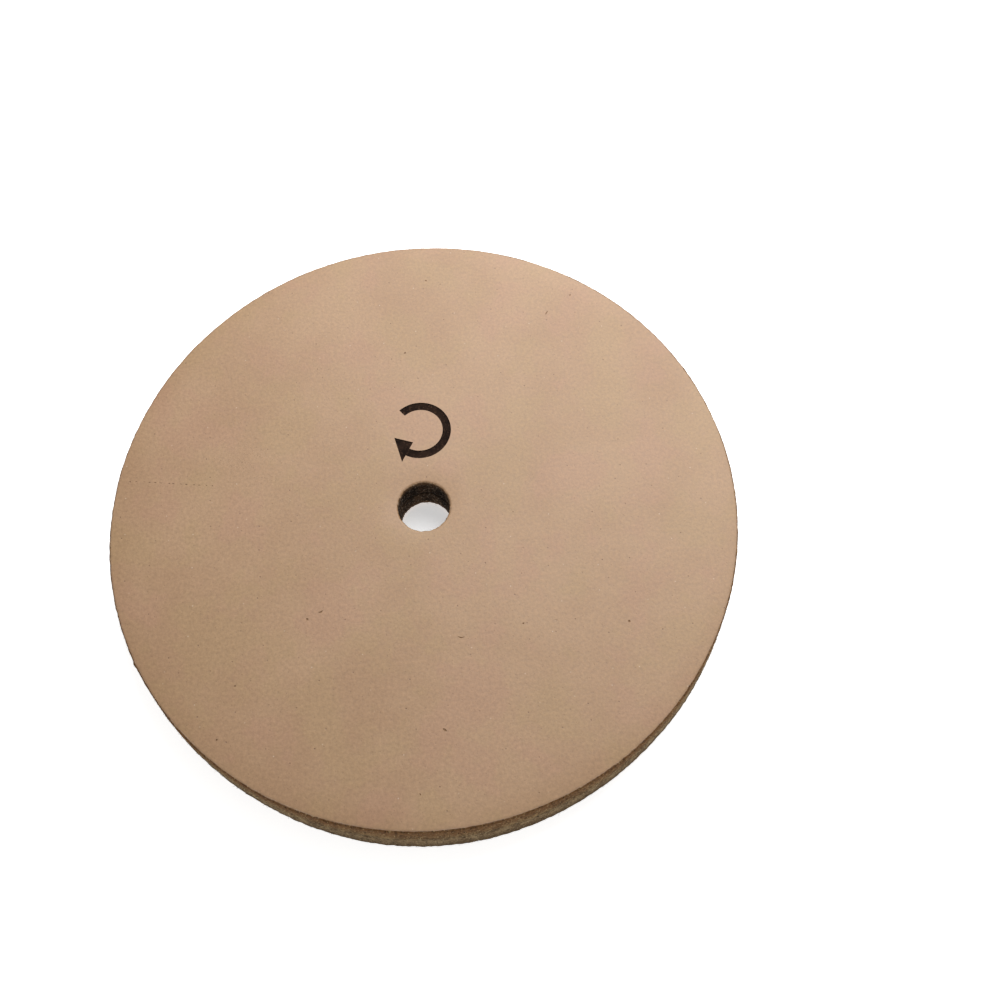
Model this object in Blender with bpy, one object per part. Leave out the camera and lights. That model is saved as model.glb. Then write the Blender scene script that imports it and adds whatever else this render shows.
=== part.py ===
"""Leather stropping wheel: two leather discs cemented face to face, bored for a grinder's arbor.

Metres, +Z up. The wheel lies flat, with the origin at the centre of its lower face and the bore along Z.
"""

import math

import bmesh
import bpy

# Driving dimensions
WHEEL_DIAMETER = 0.154
BORE_DIAMETER = 0.0128
PLY_THICKNESS = 0.0060
CEMENT_THICKNESS = 0.0002

# Softened edges of each ply, as radii
RIM_FACE_ROUNDING = 0.0007
RIM_SEAM_ROUNDING = 0.0002
BORE_FACE_ROUNDING = 0.0006
BORE_SEAM_ROUNDING = 0.0003

# Fits
CEMENT_CLEARANCE = 0.00025
CEMENT_RIM_SETBACK = 0.0004
CEMENT_BORE_SETBACK = 0.0004

# Facets
TURN_STEPS = 128
ROUNDING_STEPS = 3
SMOOTH_ANGLE = math.radians(35.0)

# Colours, linear
GRAIN_COLOUR = (0.413, 0.275, 0.171, 1.0)
UNDERSIDE_COLOUR = (0.352, 0.236, 0.150, 1.0)
CEMENT_COLOUR = (0.392, 0.296, 0.190, 1.0)

# Roughness
GRAIN_ROUGHNESS = 0.62
UNDERSIDE_ROUGHNESS = 0.75
CEMENT_ROUGHNESS = 0.60


def clear_scene():
    """Remove every object, so that the script can run again in an open file."""
    for item in list(bpy.data.objects):
        bpy.data.objects.remove(item, do_unlink=True)


def plain_material(name, colour, roughness):
    """Make a matt, non-metallic material."""
    material = bpy.data.materials.new(name)
    material.use_nodes = True
    shader = material.node_tree.nodes["Principled BSDF"]
    shader.inputs["Base Color"].default_value = colour
    shader.inputs["Roughness"].default_value = roughness
    shader.inputs["Metallic"].default_value = 0.0
    return material


def round_corner(corner, centre, start_angle):
    """Return the points of a quarter circle that rounds one corner of a section.

    The arc turns a quarter anticlockwise from start_angle. A corner whose centre is the corner itself stays sharp.
    """
    radius = abs(corner[0] - centre[0])
    if radius == 0.0:
        return [corner]
    points = []
    for step in range(ROUNDING_STEPS + 1):
        angle = start_angle + 0.5 * math.pi * step / ROUNDING_STEPS
        points.append((centre[0] + radius * math.cos(angle), centre[1] + radius * math.sin(angle)))
    return points


def ring_section(inner_radius, outer_radius, low, high, roundings):
    """Return the half section of a flat ring as (radius, height) points, anticlockwise from its inner low corner.

    roundings holds the radii of the inner low, outer low, outer high and inner high corners.
    """
    corners = (
        (inner_radius, low, 1.0, 1.0),
        (outer_radius, low, -1.0, 1.0),
        (outer_radius, high, -1.0, -1.0),
        (inner_radius, high, 1.0, -1.0),
    )
    points = []
    for index, (across, height, inward, upward) in enumerate(corners):
        radius = roundings[index]
        centre = (across + inward * radius, height + upward * radius)
        points.extend(round_corner((across, height), centre, math.pi + 0.5 * math.pi * index))
    return points


def turn_ring(name, section, material):
    """Turn a section once round Z into a closed ring, as one named object."""
    form = bmesh.new()
    corners = [form.verts.new((radius, 0.0, height)) for radius, height in section]
    edges = [form.edges.new((start, end)) for start, end in zip(corners, corners[1:] + corners[:1])]
    bmesh.ops.spin(
        form,
        geom=corners + edges,
        cent=(0.0, 0.0, 0.0),
        axis=(0.0, 0.0, 1.0),
        angle=math.tau,
        steps=TURN_STEPS,
        use_merge=True,
    )
    bmesh.ops.recalc_face_normals(form, faces=form.faces)
    mesh = bpy.data.meshes.new(name)
    form.to_mesh(mesh)
    form.free()
    mesh.shade_smooth()
    mesh.set_sharp_from_angle(angle=SMOOTH_ANGLE)
    mesh.materials.append(material)
    ring = bpy.data.objects.new(name, mesh)
    bpy.context.collection.objects.link(ring)
    return ring


def build_lower_ply(material):
    """Build the disc whose outer face is the wheel's lower face."""
    roundings = (BORE_FACE_ROUNDING, RIM_FACE_ROUNDING, RIM_SEAM_ROUNDING, BORE_SEAM_ROUNDING)
    section = ring_section(0.5 * BORE_DIAMETER, 0.5 * WHEEL_DIAMETER, 0.0, PLY_THICKNESS, roundings)
    return turn_ring("lower_ply", section, material)


def build_cement_film(material):
    """Build the film between the discs, set back from the rim and from the bore."""
    inner_radius = 0.5 * BORE_DIAMETER + CEMENT_BORE_SETBACK
    outer_radius = 0.5 * WHEEL_DIAMETER - CEMENT_RIM_SETBACK
    low = PLY_THICKNESS + CEMENT_CLEARANCE
    section = ring_section(inner_radius, outer_radius, low, low + CEMENT_THICKNESS, (0.0, 0.0, 0.0, 0.0))
    return turn_ring("cement_film", section, material)


def build_upper_ply(material):
    """Build the disc whose outer face is the wheel's working face, the lower disc's mirror image."""
    low = PLY_THICKNESS + CEMENT_CLEARANCE + CEMENT_THICKNESS + CEMENT_CLEARANCE
    roundings = (BORE_SEAM_ROUNDING, RIM_SEAM_ROUNDING, RIM_FACE_ROUNDING, BORE_FACE_ROUNDING)
    section = ring_section(0.5 * BORE_DIAMETER, 0.5 * WHEEL_DIAMETER, low, low + PLY_THICKNESS, roundings)
    return turn_ring("upper_ply", section, material)


def main():
    """Build the wheel from its lower face up."""
    clear_scene()
    build_lower_ply(plain_material("underside_leather", UNDERSIDE_COLOUR, UNDERSIDE_ROUGHNESS))
    build_cement_film(plain_material("contact_cement", CEMENT_COLOUR, CEMENT_ROUGHNESS))
    build_upper_ply(plain_material("grain_leather", GRAIN_COLOUR, GRAIN_ROUGHNESS))


main()
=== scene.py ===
"""Looks of a leather stropping wheel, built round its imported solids.

Metres, +Z up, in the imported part's frame: the wheel lies on its lower face and its bore runs along Z.
"""

import logging
import math
from dataclasses import dataclass
from enum import Enum
from typing import Sequence, Union

import bmesh
import bpy
import numpy as np
from bpy.types import ID, Material, Mesh, Node, NodeSocket, NodeTree, Object
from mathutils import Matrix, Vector, noise


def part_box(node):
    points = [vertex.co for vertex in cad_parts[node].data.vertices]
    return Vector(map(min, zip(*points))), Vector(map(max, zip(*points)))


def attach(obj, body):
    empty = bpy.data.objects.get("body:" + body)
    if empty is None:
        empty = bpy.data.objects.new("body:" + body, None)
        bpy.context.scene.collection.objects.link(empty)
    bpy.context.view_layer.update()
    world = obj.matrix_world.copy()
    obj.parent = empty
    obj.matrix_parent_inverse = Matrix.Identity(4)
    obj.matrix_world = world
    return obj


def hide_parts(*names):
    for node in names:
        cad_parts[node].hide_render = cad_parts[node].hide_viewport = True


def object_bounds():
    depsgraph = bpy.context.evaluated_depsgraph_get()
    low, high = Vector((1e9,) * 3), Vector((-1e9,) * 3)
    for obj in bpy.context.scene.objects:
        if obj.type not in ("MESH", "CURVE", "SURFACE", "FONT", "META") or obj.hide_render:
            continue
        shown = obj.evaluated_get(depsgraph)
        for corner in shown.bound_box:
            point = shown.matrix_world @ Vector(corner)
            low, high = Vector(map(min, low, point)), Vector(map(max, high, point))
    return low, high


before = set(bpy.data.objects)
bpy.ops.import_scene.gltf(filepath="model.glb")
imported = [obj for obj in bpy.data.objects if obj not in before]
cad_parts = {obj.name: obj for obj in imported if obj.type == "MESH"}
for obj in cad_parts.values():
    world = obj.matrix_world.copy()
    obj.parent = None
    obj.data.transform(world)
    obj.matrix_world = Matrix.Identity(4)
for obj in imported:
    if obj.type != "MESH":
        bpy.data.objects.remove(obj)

CAD_LOW, CAD_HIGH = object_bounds()
BODY = "root"
SHARP_ANGLE = math.radians(40.0)
QUARTER_TURN = 0.5 * math.pi
SRGB_FULL = 255.0
SRGB_TOE = 0.04045
SRGB_TOE_SLOPE = 12.92
SRGB_OFFSET = 0.055
SRGB_POWER = 2.4
log = logging.getLogger("stropping_wheel")

Colour = tuple[float, float, float, float]
Point = tuple[float, float]
Span = tuple[float, float]
Feed = Union[float, Sequence[float], NodeSocket]
Feeds = dict[Union[str, int], Feed]


class Slot(Enum):
    """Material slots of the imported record."""

    GRAIN = "grain_leather"
    CEMENT = "contact_cement"
    UNDERSIDE = "underside_leather"


class Facing(Enum):
    """Which way a ply's outer face looks."""

    UP = 1.0
    DOWN = -1.0


class Wall(Enum):
    """A wall of the discs, by which way it faces from their axis."""

    RIM = 1.0
    BORE = -1.0


class Gloss(Enum):
    """How strongly leather mirrors its surroundings, as a specular level: its polished grain and its cut."""

    GRAIN = 0.5
    CUT = 0.08


def srgb(red: int, green: int, blue: int) -> Colour:
    """Turn a colour as a picture shows it, from 0 to 255, into a linear one.

    Args:
        red: Red as shown.
        green: Green as shown.
        blue: Blue as shown.

    Returns:
        The linear colour, opaque.
    """
    linear = []
    for shown in (red, green, blue):
        share = shown / SRGB_FULL
        if share <= SRGB_TOE:
            linear.append(share / SRGB_TOE_SLOPE)
        else:
            linear.append(((share + SRGB_OFFSET) / (1.0 + SRGB_OFFSET)) ** SRGB_POWER)
    return (linear[0], linear[1], linear[2], 1.0)


def ring_radii(node: str) -> Span:
    """Measure the least and the greatest radius of a packed ring about Z."""
    radii = [math.hypot(vertex.co.x, vertex.co.y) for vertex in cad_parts[node].data.vertices]
    return min(radii), max(radii)


def place_object(name: str, data: ID) -> Object:
    """Put a mesh, a light or a camera into the scene.

    Args:
        name: Name of the object.
        data: What it shows.

    Returns:
        The object.
    """
    placed = bpy.data.objects.new(name, data)
    bpy.context.scene.collection.objects.link(placed)
    return placed


@dataclass(frozen=True)
class Cloud:
    """Soft noise: the size of its largest blotches, how often it is broken up finer, and how strongly."""

    size: float
    detail: float
    rough: float = 0.5


@dataclass(frozen=True)
class Spots:
    """Scattered round spots: the size of the cells that hold at most one each, and a spot's radius."""

    cell: float
    radius: float


class Graph:
    """A shader tree, with short calls that add a node and return the socket that it puts out."""

    MIX_SHARE = 0
    MIX_FIRST = 6
    MIX_SECOND = 7
    MIX_RESULT = 2

    def __init__(self, tree: NodeTree) -> None:
        """Keep the tree that nodes are added to."""
        self.tree = tree

    def feed(self, node: Node, feeds: Feeds) -> None:
        """Feed a node's inputs.

        Args:
            node: The node.
            feeds: An output to link to an input, or a plain value, by the input's name or number.
        """
        for name, value in feeds.items():
            if isinstance(value, NodeSocket):
                self.tree.links.new(value, node.inputs[name])
            else:
                node.inputs[name].default_value = value

    def add(self, kind: str, feeds: Feeds, **settings: object) -> Node:
        """Add a node.

        Args:
            kind: Blender's name for the node's type.
            feeds: What feeds its inputs.
            settings: Properties to set on the node.

        Returns:
            The node.
        """
        node = self.tree.nodes.new(kind)
        for name, value in settings.items():
            setattr(node, name, value)
        self.feed(node, feeds)
        return node

    def calc(self, operation: str, *values: Feed) -> NodeSocket:
        """Add a calculation on up to three values, by Blender's name for it."""
        return self.add("ShaderNodeMath", dict(enumerate(values)), operation=operation).outputs[0]

    def fade(self, value: Feed, start: Feed, end: Feed) -> NodeSocket:
        """Fade a value smoothly, from 0 where it is start to 1 where it is end."""
        feeds = {"Value": value, "From Min": start, "From Max": end}
        return self.add("ShaderNodeMapRange", feeds, interpolation_type="SMOOTHSTEP").outputs["Result"]

    def spread(self, share: Feed, low: float, high: float) -> NodeSocket:
        """Spread a share from 0 to 1 evenly over the range from low to high."""
        feeds = {"Value": share, "To Min": low, "To Max": high}
        return self.add("ShaderNodeMapRange", feeds).outputs["Result"]

    def blend(
        self, share: Feed, first: Feed, second: Feed, weight: Feed = 1.0, way: str = "MIX"
    ) -> NodeSocket:
        """Blend two colours.

        Args:
            share: Share of the second colour.
            first: First colour.
            second: Second colour.
            weight: What the share is multiplied by.
            way: Blender's name for the blend.

        Returns:
            The blended colour.
        """
        if weight != 1.0:
            share = self.calc("MULTIPLY", share, weight)
        feeds = {self.MIX_SHARE: share, self.MIX_FIRST: first, self.MIX_SECOND: second}
        return self.add("ShaderNodeMix", feeds, data_type="RGBA", blend_type=way).outputs[self.MIX_RESULT]

    def cloud(self, place: Feed, cloud: Cloud) -> NodeSocket:
        """Add soft noise at a place on the object, about 0.5 on average."""
        feeds = {"Vector": place, "Scale": 1.0 / cloud.size, "Detail": cloud.detail, "Roughness": cloud.rough}
        return self.add("ShaderNodeTexNoise", feeds).outputs[0]

    def cells(self, place: Feed, size: float, spread: str = "3D") -> Node:
        """Add scattered cells, with distances in cell sizes. Those that spread in 2D run through along Z."""
        feeds = {"Vector": place, "Scale": 1.0 / size}
        return self.add("ShaderNodeTexVoronoi", feeds, voronoi_dimensions=spread)

    def bump(self, height: Feed, depth: float) -> NodeSocket:
        """Raise a surface, by depth where its height is 1, and return its normals."""
        return self.add("ShaderNodeBump", {"Height": height, "Distance": depth}).outputs["Normal"]


class Effect:
    """A shared shader effect: a node group that is built once, the first time it is asked for."""

    name = "effect"
    inputs: tuple[str, ...] = ()
    outputs: tuple[str, ...] = ()

    def group(self) -> NodeTree:
        """Build the node group if it isn't there yet.

        Returns:
            The node group.
        """
        found = bpy.data.node_groups.get(self.name)
        if found is not None:
            return found
        tree = bpy.data.node_groups.new(self.name, "ShaderNodeTree")
        tree.interface.new_socket("Place", in_out="INPUT", socket_type="NodeSocketVector")
        for name in self.inputs:
            tree.interface.new_socket(name, in_out="INPUT", socket_type="NodeSocketFloat")
        for name in self.outputs:
            tree.interface.new_socket(name, in_out="OUTPUT", socket_type="NodeSocketFloat")
        graph = Graph(tree)
        graph.add("NodeGroupOutput", self.wire(graph, graph.add("NodeGroupInput", {})))
        return tree

    def placed(self, graph: Graph, place: Feed, **inputs: float) -> Node:
        """Place the effect in a material, with its other inputs by name and _ for a space."""
        feeds = {name.replace("_", " "): value for name, value in inputs.items()}
        return graph.add("ShaderNodeGroup", {"Place": place, **feeds}, node_tree=self.group())

    def wire(self, graph: Graph, entry: Node) -> dict[str, NodeSocket]:
        """Build the effect's inside from its inputs, and return what each output puts out, by name."""
        raise NotImplementedError


class GrainEffect(Effect):
    """Vegetable-tanned grain: cloudy tone and tint, a fine speckle, pores, follicles and pale flecks."""

    name = "leather_grain"
    inputs = ("Pore Share",)
    outputs = ("Tone", "Tint", "Speckle", "Pore", "Fleck", "Height")

    TONE = Cloud(0.022, 4.0, 0.55)
    TONE_SPAN = (0.3, 0.7)
    TINT = Cloud(0.017, 3.0, 0.6)
    TINT_SPAN = (0.35, 0.68)
    SPECKLE = Cloud(0.0008, 3.0, 0.7)
    PORES = Spots(0.0068, 0.00022)
    FOLLICLES = Spots(0.0021, 0.00018)
    FOLLICLE_DEPTH = 0.4
    FLECKS = Spots(0.0095, 0.00020)
    FLECK_SHARE = 0.9
    SPOT_CORE = 0.4
    PEBBLE_SIZE = 0.0007
    PEBBLE_DEPTH = 0.5

    def wire(self, graph: Graph, entry: Node) -> dict[str, NodeSocket]:
        """Build the grain from noise at each scale, and its pores and flecks from scattered cells.

        Args:
            graph: The group's tree.
            entry: The node that holds the group's inputs.

        Returns:
            What each output puts out, by name.
        """
        place = entry.outputs["Place"]
        share = entry.outputs["Pore Share"]
        speckle = graph.cloud(place, self.SPECKLE)
        pores = self.scatter(graph, place, self.PORES, share)
        follicles = self.scatter(graph, place, self.FOLLICLES, share)
        pore = graph.calc("MULTIPLY_ADD", follicles, self.FOLLICLE_DEPTH, pores)
        pebble = graph.cells(place, self.PEBBLE_SIZE).outputs["Distance"]
        raised = graph.calc("MULTIPLY_ADD", pebble, self.PEBBLE_DEPTH, speckle)
        return {
            "Tone": graph.fade(graph.cloud(place, self.TONE), *self.TONE_SPAN),
            "Tint": graph.fade(graph.cloud(place, self.TINT), *self.TINT_SPAN),
            "Speckle": speckle,
            "Pore": pore,
            "Fleck": self.scatter(graph, place, self.FLECKS, self.FLECK_SHARE),
            "Height": graph.calc("SUBTRACT", raised, pore),
        }

    def scatter(self, graph: Graph, place: Feed, spots: Spots, share: Feed) -> NodeSocket:
        """Scatter spots, some fainter than others.

        Args:
            graph: The group's tree.
            place: Where on the object.
            spots: What the spots are like.
            share: Share of the cells that hold a spot.

        Returns:
            How strong the spots are, from 0 to 1.
        """
        cells = graph.cells(place, spots.cell, "2D")
        draw = graph.add("ShaderNodeSeparateColor", {0: cells.outputs["Color"]})
        strength = graph.fade(draw.outputs[0], share, 0.0)
        reach = spots.radius / spots.cell
        spot = graph.fade(cells.outputs["Distance"], reach, self.SPOT_CORE * reach)
        return graph.calc("MULTIPLY", spot, strength)


class CutEffect(Effect):
    """Cut leather: matted fibres with pale ends, and hollows darkened where its relief sinks, partly scorch
    and partly painted shade.
    """

    name = "cut_leather"
    outputs = ("Mat", "Pale", "Hollow", "Height")

    LAY = (1.0, 1.0, 0.65)
    MAT = Cloud(0.0032, 3.0, 0.65)
    MAT_SPAN = (0.34, 0.66)
    MAT_DEPTH = 0.7
    FIBRES = Cloud(0.00062, 3.0, 0.75)
    HOLLOW_SPAN = (0.54, 0.32)
    ENDS = Cloud(0.00052, 2.0, 0.7)
    PALE_SPAN = (0.53, 0.75)
    END_DEPTH = 0.5

    def wire(self, graph: Graph, entry: Node) -> dict[str, NodeSocket]:
        """Build the cut's mottling from noise at three scales, drawn out along the cut.

        Args:
            graph: The group's tree.
            entry: The node that holds the group's inputs.

        Returns:
            What each output puts out, by name.
        """
        feeds = {0: entry.outputs["Place"], 1: self.LAY}
        lay = graph.add("ShaderNodeVectorMath", feeds, operation="MULTIPLY")
        mat = graph.cloud(lay.outputs[0], self.MAT)
        fibres = graph.cloud(lay.outputs[0], self.FIBRES)
        ends = graph.cloud(lay.outputs[0], self.ENDS)
        fine = graph.calc("MULTIPLY_ADD", ends, self.END_DEPTH, fibres)
        return {
            "Mat": graph.fade(mat, *self.MAT_SPAN),
            "Pale": graph.fade(ends, *self.PALE_SPAN),
            "Hollow": graph.fade(fibres, *self.HOLLOW_SPAN),
            "Height": graph.calc("MULTIPLY_ADD", mat, self.MAT_DEPTH, fine),
        }


class ZoneEffect(Effect):
    """Where a point lies on a ply: on the rim, in the bore, or on the toasted or scorched leather there.

    Each span runs from where a zone starts to where it is full, as a distance from the wall or from the face.
    """

    name = "ply_zones"
    inputs = ("Rim Radius", "Rim Reach", "Bore Radius", "Face Height")
    outputs = ("Rim", "Bore", "Toast", "Scorch", "Lip")

    WOBBLE = Cloud(0.0016, 3.0)
    WOBBLE_SPAN = (-0.0002, 0.0002)
    RIM_FULL_SHARE = 0.4
    BORE_SPAN = (0.00022, 0.00002)
    DEEP_SPAN = (0.0008, 0.0014)
    SHOULDER_SPAN = (0.0020, 0.0010)
    TOAST_SPAN = (0.0010, 0.0)
    SCORCH_SPAN = (0.0068, 0.0010)
    SCORCH_WOBBLE = 8.0
    LIP_SPAN = (0.0022, 0.0003)

    def wire(self, graph: Graph, entry: Node) -> dict[str, NodeSocket]:
        """Build the zones from the distance to Z, with a wobble that breaks their borders.

        Args:
            graph: The group's tree.
            entry: The node that holds the group's inputs.

        Returns:
            What each output puts out, by name.
        """
        place = entry.outputs["Place"]
        split = graph.add("ShaderNodeSeparateXYZ", {0: place})
        across = graph.calc("MULTIPLY", split.outputs[0], split.outputs[0])
        squared = graph.calc("MULTIPLY_ADD", split.outputs[1], split.outputs[1], across)
        radius = graph.calc("SQRT", squared)
        wobble = graph.spread(graph.cloud(place, self.WOBBLE), *self.WOBBLE_SPAN)
        to_rim = graph.calc("ADD", graph.calc("SUBTRACT", entry.outputs["Rim Radius"], radius), wobble)
        to_bore = graph.calc("ADD", graph.calc("SUBTRACT", radius, entry.outputs["Bore Radius"]), wobble)
        reach = entry.outputs["Rim Reach"]
        rim = graph.fade(to_rim, reach, graph.calc("MULTIPLY", reach, self.RIM_FULL_SHARE))
        below = graph.calc("ABSOLUTE", graph.calc("SUBTRACT", split.outputs[2], entry.outputs["Face Height"]))
        deep = graph.fade(below, *self.DEEP_SPAN)
        shoulder = graph.calc("MULTIPLY", deep, graph.fade(to_bore, *self.SHOULDER_SPAN))
        ragged = graph.calc("MULTIPLY_ADD", wobble, self.SCORCH_WOBBLE, below)
        return {
            "Rim": rim,
            "Bore": graph.calc("MAXIMUM", graph.fade(to_bore, *self.BORE_SPAN), shoulder),
            "Toast": graph.fade(graph.calc("MINIMUM", to_rim, to_bore), *self.TOAST_SPAN),
            "Scorch": graph.fade(ragged, *self.SCORCH_SPAN),
            "Lip": graph.fade(ragged, *self.LIP_SPAN),
        }


GRAIN = GrainEffect()
CUT = CutEffect()
ZONES = ZoneEffect()


@dataclass(frozen=True)
class Finish:
    """A finish: its name, and how its material starts."""

    name: str

    def start(self) -> tuple[Material, Graph, Node, NodeSocket]:
        """Make an empty material.

        Returns:
            The material, its tree, its shader and the place on the object, in metres.
        """
        material = bpy.data.materials.new(self.name)
        material.use_nodes = True
        graph = Graph(material.node_tree)
        shader = material.node_tree.nodes["Principled BSDF"]
        place = graph.add("ShaderNodeTexCoord", {}).outputs["Object"]
        return material, graph, shader, place


@dataclass(frozen=True)
class LeatherFinish(Finish):
    """A leather disc: natural grain on its face, a scorched fibrous rim and a charred bore.

    A weight is how strongly one thing covers what lies under it.
    """

    deep: Colour
    light: Colour
    pink: Colour
    straw: Colour
    pore_share: float
    rim_scorched: Colour
    rim_dark: Colour
    rim_light: Colour
    # Colour of the rim's hollows: painted shade, with scorch.
    rim_hollow: Colour
    rim_pale: Colour
    rim_reach: float = 0.0005
    char: Colour = srgb(36, 26, 19)
    char_light: Colour = srgb(88, 68, 50)
    # Pale specks in the bore: painted glints.
    char_painted_glint: Colour = srgb(182, 164, 146)
    lip: Colour = srgb(128, 98, 70)
    pore: Colour = srgb(88, 62, 42)
    fleck: Colour = srgb(216, 196, 174)
    toast: Colour = srgb(140, 110, 82)
    straw_span: Span = (0.4, 0.0)
    pink_span: Span = (0.6, 1.0)
    tint_weight: float = 0.36
    speckle_span: Span = (0.69, 1.31)
    toast_weight: float = 0.3
    pore_weight: float = 0.7
    fleck_weight: float = 0.5
    scorch_weight: float = 0.85
    hollow_shade_weight: float = 0.74
    pale_weight: float = 0.64
    pale_scorched: float = -0.12
    lip_weight: float = 0.72
    char_painted_glint_weight: float = 0.75
    satin_span: Span = (0.38, 0.56)
    cut_roughness: float = 0.92
    grain_relief: float = 0.16
    bump_depth: float = 0.00014

    def material(self, rim_radius: float, bore_radius: float, face_height: float, gloss: Gloss) -> Material:
        """Make the material for a disc's faces or for its walls.

        Args:
            rim_radius: Radius of the rim.
            bore_radius: Radius of the bore.
            face_height: Height of the disc's outer face.
            gloss: Gloss of the faces or of the walls.

        Returns:
            The material.
        """
        material, graph, shader, place = self.start()
        material.name = f"{self.name}_{gloss.name.lower()}"
        grain = GRAIN.placed(graph, place, Pore_Share=self.pore_share)
        cut = CUT.placed(graph, place)
        zones = ZONES.placed(
            graph,
            place,
            Rim_Radius=rim_radius,
            Rim_Reach=self.rim_reach,
            Bore_Radius=bore_radius,
            Face_Height=face_height,
        )
        face = self.face_colour(graph, grain, zones)
        worn = graph.blend(zones.outputs["Rim"], face, self.rim_colour(graph, cut, zones))
        edge = graph.calc("MAXIMUM", zones.outputs["Rim"], zones.outputs["Bore"])
        satin = graph.spread(grain.outputs["Speckle"], *self.satin_span)
        smooth = graph.calc("MULTIPLY", grain.outputs["Height"], self.grain_relief)
        height = graph.calc("MULTIPLY_ADD", cut.outputs["Height"], edge, smooth)
        feeds = {
            "Base Color": graph.blend(zones.outputs["Bore"], worn, self.bore_colour(graph, cut, zones)),
            "Roughness": graph.calc("MAXIMUM", satin, graph.calc("MULTIPLY", edge, self.cut_roughness)),
            "Specular IOR Level": gloss.value,
            "Normal": graph.bump(height, self.bump_depth),
        }
        graph.feed(shader, feeds)
        return material

    def face_colour(self, graph: Graph, grain: Node, zones: Node) -> NodeSocket:
        """Blend the colours of the grain face.

        Args:
            graph: The material's tree.
            grain: The placed grain effect.
            zones: The placed zone effect.

        Returns:
            The colour.
        """
        tint = grain.outputs["Tint"]
        tanned = graph.blend(grain.outputs["Tone"], self.deep, self.light)
        yellowed = graph.blend(graph.fade(tint, *self.straw_span), tanned, self.straw, self.tint_weight)
        warmed = graph.blend(graph.fade(tint, *self.pink_span), yellowed, self.pink, self.tint_weight)
        shade = graph.spread(grain.outputs["Speckle"], *self.speckle_span)
        grey = graph.add("ShaderNodeCombineColor", {"Red": shade, "Green": shade, "Blue": shade})
        speckled = graph.blend(1.0, warmed, grey.outputs[0], way="MULTIPLY")
        toasted = graph.blend(zones.outputs["Toast"], speckled, self.toast, self.toast_weight)
        pored = graph.blend(grain.outputs["Pore"], toasted, self.pore, self.pore_weight)
        return graph.blend(grain.outputs["Fleck"], pored, self.fleck, self.fleck_weight)

    def rim_colour(self, graph: Graph, cut: Node, zones: Node) -> NodeSocket:
        """Blend the colours of the cut rim.

        Args:
            graph: The material's tree.
            cut: The placed cut effect.
            zones: The placed zone effect.

        Returns:
            The colour.
        """
        scorch = zones.outputs["Scorch"]
        matted = graph.blend(cut.outputs["Mat"], self.rim_dark, self.rim_light)
        burned = graph.blend(scorch, matted, self.rim_scorched, self.scorch_weight)
        # Darken where the cut's relief sinks: painted shade in its hollows, with scorch.
        hollow_shaded = graph.blend(cut.outputs["Hollow"], burned, self.rim_hollow, self.hollow_shade_weight)
        spared = graph.calc("MULTIPLY_ADD", scorch, self.pale_scorched, self.pale_weight)
        return graph.blend(cut.outputs["Pale"], hollow_shaded, self.rim_pale, spared)

    def bore_colour(self, graph: Graph, cut: Node, zones: Node) -> NodeSocket:
        """Blend the colours of the charred bore, browner at its lip.

        Args:
            graph: The material's tree.
            cut: The placed cut effect.
            zones: The placed zone effect.

        Returns:
            The colour.
        """
        matted = graph.blend(cut.outputs["Mat"], self.char, self.char_light)
        browned = graph.blend(zones.outputs["Lip"], matted, self.lip, self.lip_weight)
        # Pale specks over the char: painted glints.
        return graph.blend(cut.outputs["Pale"], browned, self.char_painted_glint, self.char_painted_glint_weight)


@dataclass(frozen=True)
class EdgeFinish(Finish):
    """A plain cut surface: matted fibres in three colours."""

    dark: Colour
    light: Colour
    pale: Colour
    roughness: float
    specular: float = 0.25
    bump_depth: float = 0.00008

    def material(self) -> Material:
        """Make the material.

        Returns:
            The material.
        """
        material, graph, shader, place = self.start()
        cut = CUT.placed(graph, place)
        feeds = {
            "Base Color": self.colour(graph, place, cut),
            "Roughness": self.roughness,
            "Specular IOR Level": self.specular,
            "Normal": graph.bump(cut.outputs["Height"], self.bump_depth),
        }
        graph.feed(shader, feeds)
        return material

    def colour(self, graph: Graph, place: Feed, cut: Node) -> NodeSocket:
        """Blend the colours of the cut, as the placed cut effect gives them."""
        matted = graph.blend(cut.outputs["Mat"], self.dark, self.light)
        return graph.blend(cut.outputs["Pale"], matted, self.pale)


@dataclass(frozen=True)
class CementFinish(EdgeFinish):
    """Dried cement, stained by the cut at the rim and charred in the bore as far out as a radius."""

    char: Colour = srgb(42, 33, 27)
    char_radius: float = 0.0

    def colour(self, graph: Graph, place: Feed, cut: Node) -> NodeSocket:
        """Blend the colours of the cement, with the char over them."""
        zones = ZONES.placed(graph, place, Bore_Radius=self.char_radius)
        return graph.blend(zones.outputs["Bore"], super().colour(graph, place, cut), self.char)


@dataclass(frozen=True)
class FloorFinish(Finish):
    """A pale, matt studio floor that glows a little, like a light table, and looks brighter round the wheel.

    The brighter floor starts at the radius clear_radius, with a soft border, and only the camera sees it:
    painted light that pales the wheel's cast shadow.
    """

    colour: Colour
    glow_colour: Colour
    # Glow that only the camera sees outside clear_radius: painted light over the wheel's cast shadow.
    painted_glow_colour: Colour
    clear_radius: float
    border: float = 0.01
    glow_strength: float = 1.0
    roughness: float = 0.9
    specular: float = 0.0

    def material(self) -> Material:
        """Make the material.

        Returns:
            The material.
        """
        material, graph, shader, place = self.start()
        zones = ZONES.placed(graph, place, Rim_Radius=self.clear_radius, Rim_Reach=self.border)
        camera_ray = graph.add("ShaderNodeLightPath", {}).outputs["Is Camera Ray"]
        # For the camera alone, outside the wheel: painted light that pales its cast shadow.
        glow = graph.blend(zones.outputs["Rim"], self.glow_colour, self.painted_glow_colour, camera_ray)
        feeds = {
            "Base Color": self.colour,
            "Roughness": self.roughness,
            "Specular IOR Level": self.specular,
            "Emission Color": glow,
            "Emission Strength": self.glow_strength,
        }
        graph.feed(shader, feeds)
        return material


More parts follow.
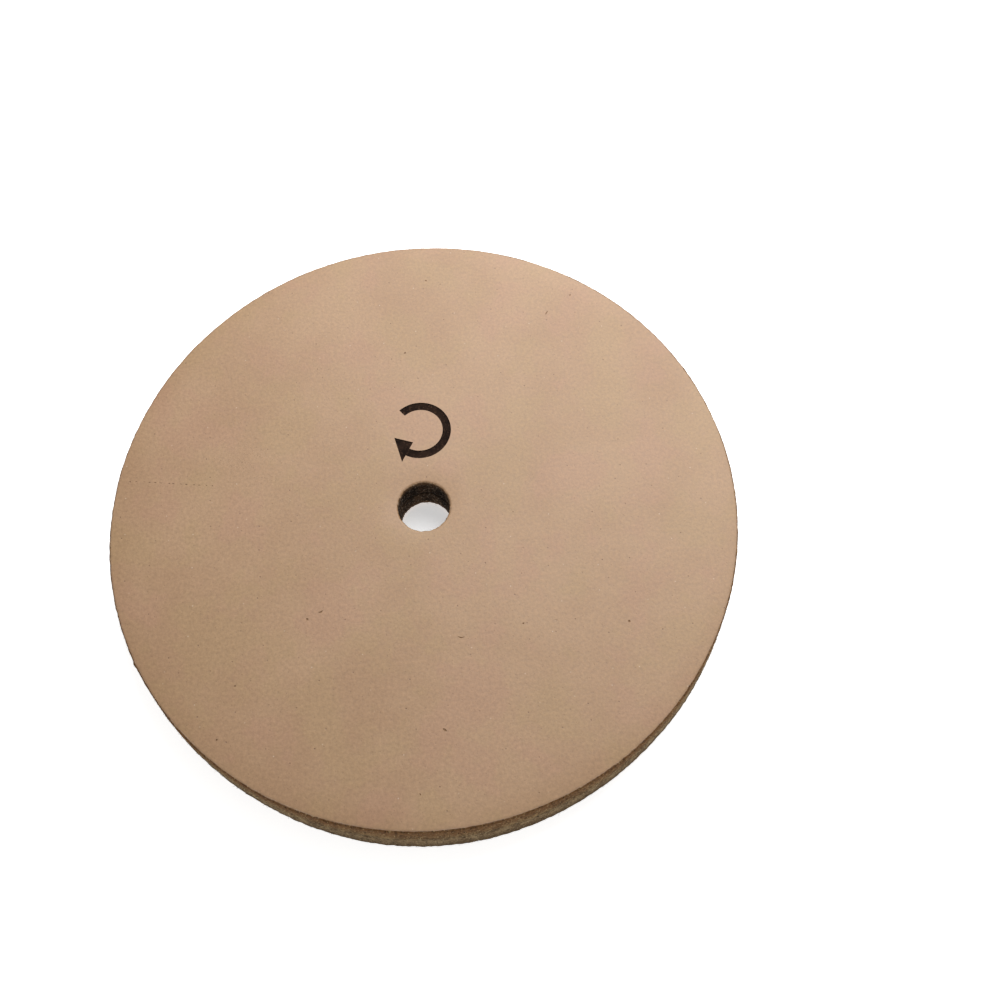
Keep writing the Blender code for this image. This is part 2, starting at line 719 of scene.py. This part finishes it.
UPPER_FINISH = LeatherFinish(
    name="grain_leather_finish",
    deep=srgb(159, 125, 93),
    light=srgb(166, 133, 101),
    pink=srgb(166, 126, 101),
    straw=srgb(161, 132, 93),
    pore_share=1.0,
    rim_scorched=srgb(112, 76, 44),
    rim_dark=srgb(107, 84, 57),
    rim_light=srgb(149, 123, 86),
    rim_hollow=srgb(30, 20, 13),
    rim_pale=srgb(196, 168, 122),
)
LOWER_FINISH = LeatherFinish(
    name="underside_leather_finish",
    deep=srgb(156, 124, 94),
    light=srgb(165, 134, 104),
    pink=srgb(164, 128, 103),
    straw=srgb(160, 132, 97),
    pore_share=0.8,
    rim_scorched=srgb(94, 75, 52),
    rim_dark=srgb(121, 98, 71),
    rim_light=srgb(160, 136, 102),
    rim_hollow=srgb(54, 42, 30),
    rim_pale=srgb(192, 169, 130),
    rim_reach=0.0010,
)
CEMENT_CHAR_REACH = 0.0015
CEMENT_FINISH = CementFinish(
    name="dried_cement_finish",
    dark=srgb(104, 84, 58),
    light=srgb(144, 121, 86),
    pale=srgb(196, 174, 132),
    roughness=0.8,
    char_radius=ring_radii("upper_ply")[0] + CEMENT_CHAR_REACH,
)
CHAR_FINISH = EdgeFinish(
    name="laser_char_finish",
    dark=srgb(26, 17, 13),
    light=srgb(42, 29, 22),
    pale=srgb(70, 51, 39),
    roughness=0.95,
    specular=0.1,
)
NICK_FINISH = EdgeFinish(
    name="nicked_grain_finish",
    dark=srgb(120, 92, 65),
    light=srgb(132, 103, 75),
    pale=srgb(147, 117, 88),
    roughness=0.8,
)
FIBRE_FINISH = EdgeFinish(
    name="loose_fibre_finish",
    dark=srgb(92, 68, 42),
    light=srgb(140, 112, 72),
    pale=srgb(200, 174, 126),
    roughness=0.85,
)
SINGED_FINISH = EdgeFinish(
    name="singed_fibre_finish",
    dark=srgb(58, 43, 31),
    light=srgb(104, 82, 60),
    pale=srgb(158, 138, 114),
    roughness=0.85,
)
FLOOR_FINISH = FloorFinish(
    name="studio_floor_finish",
    colour=srgb(252, 252, 252),
    glow_colour=srgb(186, 186, 186),
    # Camera-only glow: painted light that pales the wheel's cast shadow.
    painted_glow_colour=srgb(224, 224, 224),
    clear_radius=CAD_HIGH.x,
)


@dataclass(frozen=True)
class Relief:
    """Unevenness of a surface: how deep it is and how high its bumps are, and how much wider they are."""

    depth: float
    size: float
    octaves: int
    stretch: float = 1.0

    OCTAVE_FADE = 1.0
    OCTAVE_RATIO = 2.0

    def heights(self, points: np.ndarray) -> np.ndarray:
        """Read the unevenness.

        Args:
            points: Places on the object, one in a row.

        Returns:
            The height at each place.
        """
        scaled = points / (self.size * np.array((self.stretch, self.stretch, 1.0)))
        fine = (self.OCTAVE_FADE, self.OCTAVE_RATIO, self.octaves)
        return self.depth * np.array([noise.fractal(Vector(point), *fine) for point in scaled])


@dataclass(frozen=True)
class Flare:
    """A stretch of rim that leans out.

    Its heading is that of its middle and its reach is half its sweep, both in degrees. It leans from the
    height start and is deepest at the height full.
    """

    depth: float
    heading: float
    reach: float
    start: float
    full: float

    def heights(self, points: np.ndarray) -> np.ndarray:
        """Read how far the rim leans out.

        Args:
            points: Places on the object, one in a row.

        Returns:
            The height at each place.
        """
        turn = np.degrees(np.arctan2(points[:, 1], points[:, 0])) - self.heading
        away = np.minimum(np.abs((turn + 180.0) % 360.0 - 180.0) / self.reach, 1.0)
        share = np.clip((points[:, 2] - self.start) / (self.full - self.start), 0.0, 1.0)
        return self.depth * share * np.cos(QUARTER_TURN * away) ** 2


RIM_FLARE = Flare(depth=0.0008, heading=271.0, reach=42.0, start=CAD_HIGH.z, full=CAD_LOW.z)
RIM_NIB = Flare(depth=0.0004, heading=206.4, reach=0.9, start=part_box("upper_ply")[0].z, full=CAD_HIGH.z)
RIM_WANDER = Relief(depth=0.00010, size=0.018, octaves=2)


def line_points(start: Point, end: Point, steps: int) -> list[Point]:
    """Divide a straight stretch of a section.

    Args:
        start: Its first point.
        end: Its last point.
        steps: How many parts it is divided into.

    Returns:
        The points between the first and the last.
    """
    points = []
    for step in range(1, steps):
        share = step / steps
        points.append((start[0] + share * (end[0] - start[0]), start[1] + share * (end[1] - start[1])))
    return points


def arc_points(centre: Point, radius: float, start: float, sweep: float, steps: int) -> list[Point]:
    """Divide an arc of a section.

    Args:
        centre: Its centre.
        radius: Its radius.
        start: Angle of its first point.
        sweep: Angle that it turns through.
        steps: How many parts it is divided into.

    Returns:
        Its points, the first and the last among them.
    """
    points = []
    for step in range(steps + 1):
        angle = start + sweep * step / steps
        points.append((centre[0] + radius * math.cos(angle), centre[1] + radius * math.sin(angle)))
    return points


@dataclass(frozen=True)
class Turning:
    """A closed section turned about Z, with an uneven rim, bore and face."""

    section: np.ndarray
    steps: int
    rim: tuple[Union[Relief, Flare], ...]
    bore: tuple[Relief, ...]
    face: tuple[Relief, ...] = ()

    WALL_POWER = 1.5
    LEAST_SHARE = 0.01

    def mesh(self, name: str) -> Mesh:
        """Turn the section into a closed mesh.

        Args:
            name: Name of the mesh.

        Returns:
            The mesh, with its faces outwards.
        """
        points, normals, outer = self.turned()
        walls = (normals[:, 0] ** 2 + normals[:, 1] ** 2) ** self.WALL_POWER
        shares = (walls * outer, walls * ~outer, 1.0 - walls)
        rise = np.zeros(len(points))
        for reliefs, share in zip((self.rim, self.bore, self.face), shares):
            chosen = share > self.LEAST_SHARE
            for relief in reliefs:
                rise[chosen] += share[chosen] * relief.heights(points[chosen])
        mesh = bpy.data.meshes.new(name)
        mesh.from_pydata((points + rise[:, None] * normals).tolist(), [], self.quads())
        mesh.update()
        mesh.shade_smooth()
        return mesh

    def turned(self) -> tuple[np.ndarray, np.ndarray, np.ndarray]:
        """Turn the section's points and normals about Z.

        Returns:
            The points, their outward normals, and which of them lie nearer to the rim than to the bore.
        """
        along = np.roll(self.section, -1, 0) - np.roll(self.section, 1, 0)
        along /= np.linalg.norm(along, axis=1)[:, None]
        angles = np.linspace(0.0, math.tau, self.steps, endpoint=False)
        turn = np.stack([np.cos(angles), np.sin(angles)], 1)
        rings = len(self.section)
        points = np.empty((rings, self.steps, 3))
        points[:, :, :2] = self.section[:, 0, None, None] * turn[None]
        points[:, :, 2] = self.section[:, 1, None]
        normals = np.empty((rings, self.steps, 3))
        normals[:, :, :2] = along[:, 1, None, None] * turn[None]
        normals[:, :, 2] = -along[:, 0, None]
        middle = 0.5 * (self.section[:, 0].min() + self.section[:, 0].max())
        outer = np.repeat(self.section[:, 0] > middle, self.steps)
        return points.reshape(-1, 3), normals.reshape(-1, 3), outer

    def quads(self) -> list[list[int]]:
        """Number the faces, ring by ring.

        Returns:
            The corners of each face.
        """
        rings = len(self.section)
        ring = np.arange(rings)[:, None]
        step = np.arange(self.steps)[None, :]
        here = ring * self.steps
        after = (ring + 1) % rings * self.steps
        beside = (step + 1) % self.steps
        corners = (here + step, here + beside, after + beside, after + step)
        return np.stack(corners, 2).reshape(-1, 4).tolist()


def add_piece(name: str, mesh: Mesh, material: Material) -> Object:
    """Put a mesh into the scene as a piece of the wheel.

    Args:
        name: Name of the piece.
        mesh: Its mesh.
        material: Its finish.

    Returns:
        The piece.
    """
    mesh.materials.append(material)
    piece = place_object(name, mesh)
    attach(piece, BODY)
    return piece


@dataclass(frozen=True)
class Nick:
    """A short bowed cut in the grain, placed from the wheel's axis, with its heading in degrees."""

    x: float
    y: float
    length: float
    heading: float
    bow: float = 0.0
    width: float = 0.00042
    steps: int = 8

    def outline(self) -> list[Point]:
        """Draw the nick, pointed at both ends.

        Returns:
            The points round it, anticlockwise.
        """
        turn = (math.cos(math.radians(self.heading)), math.sin(math.radians(self.heading)))
        points = []
        for side, order in ((-0.5, range(self.steps)), (0.5, range(self.steps, 0, -1))):
            for step in order:
                share = step / self.steps
                along = (share - 0.5) * self.length
                swell = math.sin(math.pi * share)
                across = self.bow * swell + side * self.width * swell
                x = self.x + along * turn[0] - across * turn[1]
                y = self.y + along * turn[1] + across * turn[0]
                points.append((x, y))
        return points


@dataclass(frozen=True)
class Crease:
    """A faint crease in the grain: a row of short dashes between two ends, placed from the wheel's axis.

    Each dash lies somewhere in the middle of its own share of the row, a few degrees off its line.
    """

    start: Point
    end: Point
    dashes: int
    length_span: Span
    width: float
    seed: int
    place_span: Span = (0.28, 0.72)
    width_span: Span = (0.5, 1.0)
    heading_span: Span = (-8.0, 8.0)

    def nicks(self) -> list[Nick]:
        """Scatter the dashes along the crease.

        Returns:
            The dashes.
        """
        draw = np.random.default_rng(self.seed)
        across = self.end[0] - self.start[0]
        along = self.end[1] - self.start[1]
        heading = math.degrees(math.atan2(along, across))
        dashes = []
        for index in range(self.dashes):
            share = (index + draw.uniform(*self.place_span)) / self.dashes
            x = self.start[0] + share * across
            y = self.start[1] + share * along
            length = draw.uniform(*self.length_span)
            width = self.width * draw.uniform(*self.width_span)
            turn = heading + draw.uniform(*self.heading_span)
            dashes.append(Nick(x, y, length, turn, width=width))
        return dashes


@dataclass(frozen=True)
class RotationMark:
    """A burned arrow round its own centre, placed from the wheel's axis, with angles in degrees."""

    x: float = 0.0
    y: float = 0.021
    radius: float = 0.0068
    band: float = 0.0021
    head_width: float = 0.0060
    head_sweep: float = 46.0
    start: float = 130.0
    sweep: float = -250.0
    steps: int = 40

    def at(self, radius: float, angle: float) -> Point:
        """Return a point by its radius and angle about the mark's centre."""
        turn = math.radians(angle)
        return (self.x + radius * math.cos(turn), self.y + radius * math.sin(turn))

    def outline(self) -> list[Point]:
        """Draw the arrow: along the inside of its band, round its head and back along the outside.

        Returns:
            The points round it, anticlockwise.
        """
        end = self.start + self.sweep
        inner = self.radius - 0.5 * self.band
        outer = self.radius + 0.5 * self.band
        angles = [self.start + self.sweep * step / self.steps for step in range(self.steps + 1)]
        points = [self.at(inner, angle) for angle in angles]
        points.append(self.at(self.radius - 0.5 * self.head_width, end))
        points.append(self.at(self.radius, end - self.head_sweep))
        points.append(self.at(self.radius + 0.5 * self.head_width, end))
        points.extend(self.at(outer, angle) for angle in reversed(angles))
        return points


def prisms(outlines: list[list[Point]], low: float, high: float) -> Mesh:
    """Raise closed upright prisms on outlines.

    Args:
        outlines: The prisms seen from above, each anticlockwise.
        low: Height of their floors.
        high: Height of their roofs.

    Returns:
        The prisms, as one mesh.
    """
    form = bmesh.new()
    for outline in outlines:
        floor = [form.verts.new((x, y, low)) for x, y in outline]
        roof = [form.verts.new((x, y, high)) for x, y in outline]
        form.faces.new(list(reversed(floor)))
        form.faces.new(roof)
        for index, corner in enumerate(floor):
            after = (index + 1) % len(floor)
            form.faces.new((corner, floor[after], roof[after], roof[index]))
    bmesh.ops.recalc_face_normals(form, faces=form.faces)
    mesh = bpy.data.meshes.new("cutter")
    form.to_mesh(mesh)
    form.free()
    return mesh


def cut_away(piece: Object, mesh: Mesh, material: Material) -> None:
    """Cut a mesh out of a piece.

    Args:
        piece: The piece to cut.
        mesh: What is cut away.
        material: Finish of what the cut lays bare.

    Raises:
        ValueError: The cut left nothing.
    """
    mesh.materials.append(material)
    cutter = place_object("cutter", mesh)
    cut = piece.modifiers.new("cut", "BOOLEAN")
    cut.operation = "DIFFERENCE"
    cut.solver = "EXACT"
    cut.material_mode = "TRANSFER"
    cut.object = cutter
    depsgraph = bpy.context.evaluated_depsgraph_get()
    result = bpy.data.meshes.new_from_object(piece.evaluated_get(depsgraph), depsgraph=depsgraph)
    if not result.polygons:
        raise ValueError(f"cutting {piece.name} left nothing: the outlines may overlap")
    piece.modifiers.remove(cut)
    before = piece.data
    piece.data = result
    bpy.data.meshes.remove(before)
    bpy.data.objects.remove(cutter)


@dataclass
class Ply:
    """One leather disc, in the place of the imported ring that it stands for."""

    node: str
    facing: Facing
    slot: Slot
    finish: LeatherFinish
    rim_face_rounding: float = 0.0007
    rim_seam_rounding: float = 0.0002
    bore_face_rounding: float = 0.0006
    bore_seam_rounding: float = 0.0003
    rim_relief: Relief = Relief(0.00012, 0.0010, 3, 1.4)
    bore_reliefs: tuple[Relief, ...] = (Relief(0.00014, 0.0012, 3), Relief(0.00008, 0.0005, 2))
    face_reliefs: tuple[Relief, ...] = (Relief(0.00004, 0.020, 2), Relief(0.000012, 0.006, 2))
    steps: int = 1400
    rounding_steps: int = 5
    seam_rings: int = 3
    face_rings: int = 14
    wall_rings: int = 15
    wall_slope: float = 0.75

    def section(self) -> np.ndarray:
        """Draw the disc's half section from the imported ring's sizes.

        Returns:
            Its points as radius and height, anticlockwise.
        """
        low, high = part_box(self.node)
        bore, rim = ring_radii(self.node)
        middle = 0.5 * (low.z + high.z)
        half = 0.5 * (high.z - low.z)
        corners = (
            (bore, -half, self.bore_seam_rounding, 1.0, 1.0),
            (rim, -half, self.rim_seam_rounding, -1.0, 1.0),
            (rim, half, self.rim_face_rounding, -1.0, -1.0),
            (bore, half, self.bore_face_rounding, 1.0, -1.0),
        )
        arcs = []
        for index, (radius, height, rounding, inward, upward) in enumerate(corners):
            centre = (radius + inward * rounding, height + upward * rounding)
            start = math.pi + QUARTER_TURN * index
            arcs.append(arc_points(centre, rounding, start, QUARTER_TURN, self.rounding_steps))
        stretches = (self.seam_rings, self.wall_rings, self.face_rings, self.wall_rings)
        points = []
        for index, steps in enumerate(stretches):
            points.extend(arcs[index])
            points.extend(line_points(arcs[index][-1], arcs[(index + 1) % len(arcs)][0], steps))
        section = np.array(points)
        section[:, 1] = middle + self.facing.value * section[:, 1]
        return section if self.facing is Facing.UP else section[::-1]

    def build(self) -> Object:
        """Build and dress the disc.

        Returns:
            The disc.
        """
        turning = Turning(
            section=self.section(),
            steps=self.steps,
            rim=(RIM_FLARE, RIM_NIB, RIM_WANDER, self.rim_relief),
            bore=self.bore_reliefs,
            face=self.face_reliefs,
        )
        low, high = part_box(self.node)
        bore, rim = ring_radii(self.node)
        face = high.z if self.facing is Facing.UP else low.z
        grain = self.finish.material(rim, bore, face, Gloss.GRAIN)
        disc = add_piece(f"{self.node}_leather", turning.mesh(self.node), grain)
        disc.data.materials.append(self.finish.material(rim, bore, face, Gloss.CUT))
        normals = np.empty(3 * len(disc.data.polygons))
        disc.data.polygons.foreach_get("normal", normals)
        walls = np.abs(normals[2::3]) < self.wall_slope
        disc.data.polygons.foreach_set("material_index", walls.astype(np.int32))
        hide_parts(self.node)
        return disc


@dataclass
class MarkedPly(Ply):
    """The disc with the working face, which bears the rotation mark and the grain's own nicks."""

    mark: RotationMark = RotationMark()
    mark_depth: float = 0.00018
    nick_depth: float = 0.00008
    cut_clearance: float = 0.0005
    crease: Crease = Crease(
        start=(-0.0733, 0.0127),
        end=(-0.0516, 0.0096),
        dashes=14,
        length_span=(0.00025, 0.00085),
        width=0.00018,
        seed=3,
    )
    nicks: tuple[Nick, ...] = (
        Nick(0.00228, -0.05503, 0.0012, -38.0, width=0.00050),
        Nick(-0.02560, -0.02496, 0.0012, 22.0, bow=-0.00016),
        Nick(-0.02873, -0.02663, 0.0008, -42.0, width=0.0005),
        Nick(0.00725, -0.03358, 0.0017, -8.0, bow=-0.0003, width=0.0003),
        Nick(0.03514, 0.05316, 0.0015, 55.0, width=0.0003),
        Nick(-0.00390, -0.06874, 0.0006, -60.0, width=0.0003),
        Nick(-0.04924, -0.05333, 0.0005, 20.0),
        Nick(-0.04540, -0.04128, 0.0005, 80.0),
        Nick(0.04685, -0.03298, 0.0007, -30.0, width=0.0006),
        Nick(0.04192, 0.05819, 0.0006, 60.0),
        Nick(0.00360, 0.06594, 0.0005, -20.0),
        Nick(-0.00294, 0.04387, 0.0006, 35.0),
        Nick(0.02198, -0.03159, 0.0005, 10.0),
    )

    def build(self) -> Object:
        """Build the disc, then cut its nicks and burn its mark.

        Returns:
            The disc.
        """
        disc = super().build()
        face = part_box(self.node)[1].z
        top = face + self.cut_clearance
        nicks = [nick.outline() for nick in (*self.nicks, *self.crease.nicks())]
        cut_away(disc, prisms(nicks, face - self.nick_depth, top), NICK_FINISH.material())
        cut_away(disc, prisms([self.mark.outline()], face - self.mark_depth, top), CHAR_FINISH.material())
        disc.data.set_sharp_from_angle(angle=SHARP_ANGLE)
        return disc


@dataclass
class CementSeam:
    """The cement between the discs, squeezed out into a low uneven bead at the rim."""

    node: str = "cement_film"
    below: str = "lower_ply"
    above: str = "upper_ply"
    clearance: float = 0.00002
    bore_setback: float = 0.0002
    rim_relief: Relief = Relief(0.00010, 0.0012, 3, 1.4)
    bore_relief: Relief = Relief(0.00010, 0.0020, 2)
    steps: int = 1024
    bead_steps: int = 8
    film_rings: int = 3

    def build(self) -> Object:
        """Build and dress the seam.

        Returns:
            The seam.
        """
        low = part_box(self.below)[1].z + self.clearance
        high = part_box(self.above)[0].z - self.clearance
        bore, rim = ring_radii(self.above)
        half = 0.5 * (high - low)
        middle = 0.5 * (low + high)
        inner = (bore + self.bore_setback + half, middle)
        outer = (rim - half, middle)
        points = arc_points(outer, half, -QUARTER_TURN, math.pi, self.bead_steps)
        points.extend(line_points(points[-1], (inner[0], high), self.film_rings))
        points.extend(arc_points(inner, half, QUARTER_TURN, math.pi, self.bead_steps))
        points.extend(line_points(points[-1], (outer[0], low), self.film_rings))
        turning = Turning(
            section=np.array(points),
            steps=self.steps,
            rim=(RIM_FLARE, RIM_WANDER, self.rim_relief),
            bore=(self.bore_relief,),
        )
        seam = add_piece("cement_seam", turning.mesh(self.node), CEMENT_FINISH.material())
        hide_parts(self.node)
        return seam


@dataclass
class LooseFibres:
    """Fibres that the cut left standing on a wall of the discs, each a thin tapered hair with its root sunk.

    A fibre lies along its wall, tilted up or down by its lie in radians, and stands out by a share of its
    length.
    """

    name: str
    wall: Wall
    count: int
    finish: EdgeFinish
    seed: int
    nodes: tuple[str, ...] = ("lower_ply", "upper_ply")
    length_span: Span = (0.0002, 0.0007)
    lie_span: Span = (-0.7, 0.7)
    rise_span: Span = (0.1, 0.8)
    thickness: float = 0.00009
    thickness_span: Span = (0.6, 1.2)
    tip_share: float = 0.25
    sunk: float = 0.00022
    edge_gap: float = 0.0003
    face_gap: float = 0.00015
    stations: int = 5
    sides: int = 3

    def build(self) -> Object:
        """Build and dress the fibres.

        Returns:
            The fibres, as one piece.
        """
        mesh = bpy.data.meshes.new(self.name)
        mesh.from_pydata(self.points().reshape(-1, 3).tolist(), [], self.faces())
        mesh.update()
        mesh.shade_smooth()
        return add_piece(self.name, mesh, self.finish.material())

    def points(self) -> np.ndarray:
        """Draw the fibres.

        Returns:
            Their points, by fibre, station and side.
        """
        draw = np.random.default_rng(self.seed)
        turn = draw.uniform(0.0, math.tau, self.count)
        flat = np.zeros(self.count)
        out = self.wall.value * np.stack([np.cos(turn), np.sin(turn), flat], 1)
        round_wall = np.stack([-np.sin(turn), np.cos(turn), flat], 1)
        roots = self.roots(draw, turn)
        lie = draw.uniform(*self.lie_span, self.count)
        side = draw.choice((-1.0, 1.0), self.count)
        along = (side * np.cos(lie))[:, None] * round_wall
        along[:, 2] += np.sin(lie)
        length = draw.uniform(*self.length_span, self.count)
        rise = self.sunk + length * draw.uniform(*self.rise_span, self.count)
        share = np.linspace(0.0, 1.0, self.stations)
        lift = rise[:, None] * np.sin(QUARTER_TURN * share)[None] - self.sunk
        spine = roots[:, None] + lift[..., None] * out[:, None]
        spine = spine + (length[:, None] * share[None])[..., None] * along[:, None]
        spine[..., 2] = np.clip(spine[..., 2], CAD_LOW.z + self.face_gap, CAD_HIGH.z - self.face_gap)
        radius = 0.5 * self.thickness * draw.uniform(*self.thickness_span, self.count)[:, None]
        radius = radius * (1.0 - (1.0 - self.tip_share) * share)[None]
        beside = np.cross(along, out)
        rings = []
        for corner in range(self.sides):
            angle = math.tau * corner / self.sides
            offset = math.cos(angle) * out + math.sin(angle) * beside
            rings.append(spine + radius[..., None] * offset[:, None])
        return np.stack(rings, 2)

    def roots(self, draw: np.random.Generator, turn: np.ndarray) -> np.ndarray:
        """Choose where the fibres leave the wall.

        Args:
            draw: Source of the random draws.
            turn: Angle of each fibre about Z.

        Returns:
            A point on the wall for each fibre.
        """
        picked = draw.integers(0, len(self.nodes), self.count)
        share = draw.uniform(0.0, 1.0, self.count)
        points = np.zeros((self.count, 3))
        for index, node in enumerate(self.nodes):
            chosen = picked == index
            low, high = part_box(node)
            bore, rim = ring_radii(node)
            radius = rim if self.wall is Wall.RIM else bore
            points[chosen, 0] = radius * np.cos(turn[chosen])
            points[chosen, 1] = radius * np.sin(turn[chosen])
            span = high.z - low.z - 2.0 * self.edge_gap
            points[chosen, 2] = low.z + self.edge_gap + share[chosen] * span
        if self.wall is Wall.RIM:
            leaned = 1.0 + RIM_FLARE.heights(points) / np.hypot(points[:, 0], points[:, 1])
            points[:, :2] *= leaned[:, None]
        return points

    def faces(self) -> list[list[int]]:
        """Number the faces, fibre by fibre.

        Returns:
            The corners of each face.
        """
        faces = []
        for fibre in range(self.count):
            first = fibre * self.stations * self.sides
            last = first + (self.stations - 1) * self.sides
            for ring in range(first, last, self.sides):
                above = ring + self.sides
                for corner in range(self.sides):
                    after = (corner + 1) % self.sides
                    faces.append([ring + corner, above + corner, above + after, ring + after])
            faces.append([first + corner for corner in range(self.sides)])
            faces.append([last + corner for corner in reversed(range(self.sides))])
        return faces


@dataclass
class Studio:
    """A pale floor, soft light and the camera, whose turn is in degrees and whose lens is in millimetres."""

    floor_width: float = 4.0
    floor_drop: float = 0.0003
    camera_place: tuple[float, float, float] = (0.013195, -0.137188, 0.32575)
    camera_turn: tuple[float, float, float] = (30.325, 0.816, -4.206)
    camera_lens: float = 49.585
    camera_sensor: float = 36.0
    camera_shift: float = -0.16
    camera_nearest: float = 0.01
    key_place: tuple[float, float, float] = (0.12, 0.264, 0.328)
    key_width: float = 0.492
    key_power: float = 2.70
    sky_colour: Colour = srgb(255, 255, 255)
    sky_strength: float = 0.35
    backdrop_strength: float = 1.0

    def build(self) -> None:
        """Build the floor, the light, the sky and the camera."""
        self.build_floor()
        self.build_light()
        self.build_sky()
        self.build_camera()

    def build_floor(self) -> None:
        """Lay the floor just under the wheel."""
        form = bmesh.new()
        bmesh.ops.create_grid(form, x_segments=1, y_segments=1, size=0.5 * self.floor_width)
        mesh = bpy.data.meshes.new("floor")
        form.to_mesh(mesh)
        form.free()
        mesh.materials.append(FLOOR_FINISH.material())
        floor = place_object("floor", mesh)
        floor.location.z = CAD_LOW.z - self.floor_drop

    def build_light(self) -> None:
        """Hang a broad soft light behind the wheel on the right."""
        lamp = bpy.data.lights.new("key_light", "AREA")
        lamp.shape = "DISK"
        lamp.size = self.key_width
        lamp.energy = self.key_power
        key = place_object("key_light", lamp)
        key.location = self.key_place
        key.rotation_euler = Vector(self.key_place).to_track_quat("Z", "Y").to_euler()

    def build_sky(self) -> None:
        """Spread a pale sky that lights the wheel, and that itself looks as bright as the floor far off."""
        world = bpy.data.worlds.new("studio_sky")
        world.use_nodes = True
        graph = Graph(world.node_tree)
        sky = world.node_tree.nodes["Background"]
        backdrop = graph.add("ShaderNodeBackground", {})
        for background, strength in ((sky, self.sky_strength), (backdrop, self.backdrop_strength)):
            graph.feed(background, {"Color": self.sky_colour, "Strength": strength})
        camera_ray = graph.add("ShaderNodeLightPath", {}).outputs["Is Camera Ray"]
        feeds = {0: camera_ray, 1: sky.outputs[0], 2: backdrop.outputs[0]}
        choice = graph.add("ShaderNodeMixShader", feeds)
        graph.feed(world.node_tree.nodes["World Output"], {"Surface": choice.outputs[0]})
        bpy.context.scene.world = world
        bpy.context.scene.view_settings.view_transform = "Standard"

    def build_camera(self) -> None:
        """Stand the camera where the picture was taken from."""
        data = bpy.data.cameras.new("camera")
        data.lens = self.camera_lens
        data.sensor_width = self.camera_sensor
        data.shift_y = self.camera_shift
        data.clip_start = self.camera_nearest
        camera = place_object("camera", data)
        camera.location = self.camera_place
        camera.rotation_euler = [math.radians(angle) for angle in self.camera_turn]
        bpy.context.scene.camera = camera


def main() -> None:
    """Build the wheel from its lower face up, then the studio."""
    logging.basicConfig(level=logging.INFO, format="%(name)s: %(message)s")
    parts = (
        Ply("lower_ply", Facing.DOWN, Slot.UNDERSIDE, LOWER_FINISH),
        CementSeam(),
        MarkedPly("upper_ply", Facing.UP, Slot.GRAIN, UPPER_FINISH),
        LooseFibres("rim_fibres", Wall.RIM, count=2400, finish=FIBRE_FINISH, seed=11),
        LooseFibres("bore_fibres", Wall.BORE, count=260, finish=SINGED_FINISH, seed=12),
    )
    for part in parts:
        piece = part.build()
        log.info("%s: %d faces", piece.name, len(piece.data.polygons))
    Studio().build()


if __name__ == "__main__":
    main()
